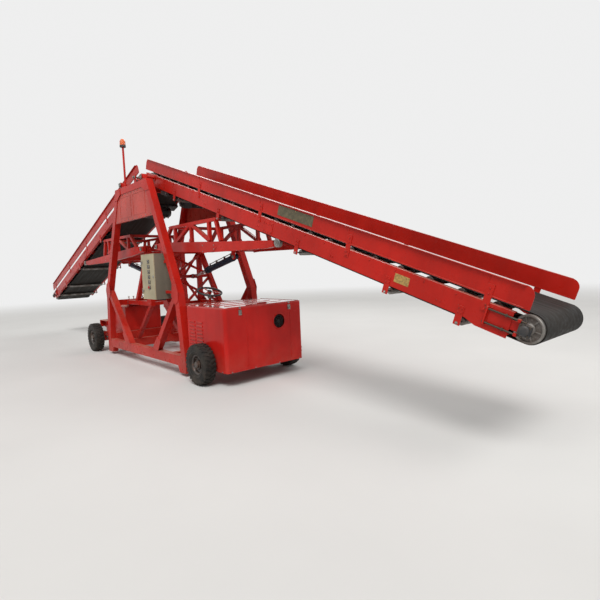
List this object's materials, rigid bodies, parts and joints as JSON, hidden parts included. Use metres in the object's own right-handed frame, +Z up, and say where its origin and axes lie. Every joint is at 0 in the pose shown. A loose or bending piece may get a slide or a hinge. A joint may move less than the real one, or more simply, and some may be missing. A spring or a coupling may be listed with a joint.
{
  "type": "mobile twin-boom belt conveyor",
  "caption": "Wheeled steel tower with belt booms to front and rear, each raised by a lifting arm and cylinder, for stacking bags in a warehouse.",
  "frame": {"origin": "on the floor under the middle of the tower, midway between the tails of the booms", "axes": "+X to the front along the booms, where the oil tank and step are; +Y to the left, where the cabinet is; +Z up"},
  "size_m": [12.0546, 1.61, 3.6503],
  "materials": {
    "frame_red": "gloss paint",
    "boom_red": "gloss paint",
    "belt_black": "matt",
    "tyre_black": "matt",
    "rim_dark": "satin",
    "roller_steel": "turned",
    "cylinder_blue": "gloss paint",
    "rod_chrome": "polished",
    "cabinet_grey": "satin paint",
    "motor_dark": "painted casting",
    "lamp_orange": "gloss",
    "arm_roller_steel": "worn",
    "wheel_black": "matt"
  },
  "bodies": {
    "chassis": {"side_frame_left": "frame_red", "side_frame_right": "frame_red", "side_panels": "frame_red", "cross_beams": "frame_red", "transfer_roller": "roller_steel", "beacon_pole": "frame_red", "beacon_lamp": "lamp_orange", "control_cabinet": "cabinet_grey", "subframe_front": "frame_red", "subframe_rear": "frame_red", "power_box": "frame_red", "engine_block": "motor_dark", "oil_tank": "frame_red", "valve_bank": "frame_red", "front_step": "frame_red", "steering_gear": "wheel_black", "travel_motor": "motor_dark", "rear_axle": "frame_red", "front_axle": "frame_red", "mast_front": "frame_red", "mast_rear": "frame_red"},
    "lid": {"box_lid": "frame_red"},
    "door": {"cabinet_door": "cabinet_grey"},
    "steer_left": {"knuckle_left": "frame_red"},
    "steer_right": {"knuckle_right": "frame_red"},
    "wheel_front_left": {"tyre_front_left": "tyre_black", "rim_front_left": "rim_dark"},
    "wheel_front_right": {"tyre_front_right": "tyre_black", "rim_front_right": "rim_dark"},
    "wheel_rear_left": {"tyre_rear_left": "tyre_black", "rim_rear_left": "rim_dark"},
    "wheel_rear_right": {"tyre_rear_right": "tyre_black", "rim_rear_right": "rim_dark"},
    "tie": {"tie_rod": "arm_roller_steel"},
    "boom_front": {"boom_frame_front": "boom_red", "boom_skirts_front": "boom_red", "boom_belt_front": "belt_black", "boom_rollers_front": "roller_steel", "boom_drive_front": "motor_dark"},
    "arm_front": {"lifting_arm_front": "frame_red", "arm_rollers_front": "arm_roller_steel"},
    "barrel_front": {"cylinder_barrel_front": "cylinder_blue"},
    "rod_front": {"cylinder_rod_front": "rod_chrome"},
    "boom_rear": {"boom_frame_rear": "boom_red", "boom_skirts_rear": "boom_red", "boom_belt_rear": "belt_black", "boom_rollers_rear": "roller_steel", "boom_drive_rear": "motor_dark"},
    "arm_rear": {"lifting_arm_rear": "frame_red", "arm_rollers_rear": "arm_roller_steel"},
    "barrel_rear": {"cylinder_barrel_rear": "cylinder_blue"},
    "rod_rear": {"cylinder_rod_rear": "rod_chrome"}
  },
  "joints": [
    {"name": "steering_left", "type": "hinge", "parent": "chassis", "child": "steer_left", "pos_m": [2, 0.56, 0.27], "axis": [0, 0, 1], "range_deg": [-28, 28]},
    {"name": "steering_right", "type": "hinge", "parent": "chassis", "child": "steer_right", "pos_m": [2, -0.56, 0.27], "axis": [0, 0, 1], "range_deg": [-28, 28]},
    {"name": "tie_swing", "type": "hinge", "parent": "steer_left", "child": "tie", "pos_m": [1.865, 0.56, 0.272], "axis": [0, 0, 1], "range_deg": [-28, 28]},
    {"name": "roll_front_left", "type": "hinge", "parent": "steer_left", "child": "wheel_front_left", "pos_m": [2, 0.725, 0.27], "axis": [0, 1, 0], "continuous": true},
    {"name": "roll_front_right", "type": "hinge", "parent": "steer_right", "child": "wheel_front_right", "pos_m": [2, -0.725, 0.27], "axis": [0, 1, 0], "continuous": true},
    {"name": "roll_rear_left", "type": "hinge", "parent": "chassis", "child": "wheel_rear_left", "pos_m": [-2, 0.725, 0.27], "axis": [0, 1, 0], "continuous": true},
    {"name": "roll_rear_right", "type": "hinge", "parent": "chassis", "child": "wheel_rear_right", "pos_m": [-2, -0.725, 0.27], "axis": [0, 1, 0], "continuous": true},
    {"name": "luff_front", "type": "hinge", "parent": "chassis", "child": "boom_front", "pos_m": [0.42, 0, 2.925], "axis": [0, -1, 0], "range_deg": [0, 29]},
    {"name": "arm_lift_front", "type": "hinge", "parent": "chassis", "child": "arm_front", "pos_m": [0.3, 0, 1.87], "axis": [0, -1, 0], "range_deg": [0, 28.63]},
    {"name": "cylinder_swing_front", "type": "hinge", "parent": "arm_front", "child": "barrel_front", "pos_m": [1.85, 0, 1.64], "axis": [0, -1, 0], "range_deg": [0, 2.48]},
    {"name": "rod_slide_front", "type": "slide", "parent": "barrel_front", "child": "rod_front", "axis": [-0.9767, 0, -0.2147], "range_m": [0, 0.30238]},
    {"name": "luff_rear", "type": "hinge", "parent": "chassis", "child": "boom_rear", "pos_m": [-0.42, 0, 2.925], "axis": [0, 1, 0], "range_deg": [0, 29]},
    {"name": "arm_lift_rear", "type": "hinge", "parent": "chassis", "child": "arm_rear", "pos_m": [-0.3, 0, 1.87], "axis": [0, 1, 0], "range_deg": [0, 28.63]},
    {"name": "cylinder_swing_rear", "type": "hinge", "parent": "arm_rear", "child": "barrel_rear", "pos_m": [-1.85, 0, 1.64], "axis": [0, 1, 0], "range_deg": [0, 2.48]},
    {"name": "rod_slide_rear", "type": "slide", "parent": "barrel_rear", "child": "rod_rear", "axis": [0.9767, 0, -0.2147], "range_m": [0, 0.30238]},
    {"name": "lid_hinge", "type": "hinge", "parent": "chassis", "child": "lid", "pos_m": [-1.491, 0, 0.9893], "axis": [0, 1, 0], "range_deg": [0, 42]},
    {"name": "door_hinge", "type": "hinge", "parent": "chassis", "child": "door", "pos_m": [-0.51619, 0.7953, 1.41], "axis": [0, 0, -1], "range_deg": [0, 110]}
  ],
  "couplings": [
    {"joint": "steering_right", "follows": "steering_left", "ratio": 1},
    {"joint": "tie_swing", "follows": "steering_left", "ratio": -1},
    {"joint": "arm_lift_front", "follows": "luff_front", "ratio": 0.98734},
    {"joint": "cylinder_swing_front", "follows": "luff_front", "ratio": 0.085498},
    {"joint": "rod_slide_front", "follows": "luff_front", "m_per_rad": 0.59737},
    {"joint": "arm_lift_rear", "follows": "luff_rear", "ratio": 0.98734},
    {"joint": "cylinder_swing_rear", "follows": "luff_rear", "ratio": 0.085498},
    {"joint": "rod_slide_rear", "follows": "luff_rear", "m_per_rad": 0.59737}
  ]
}
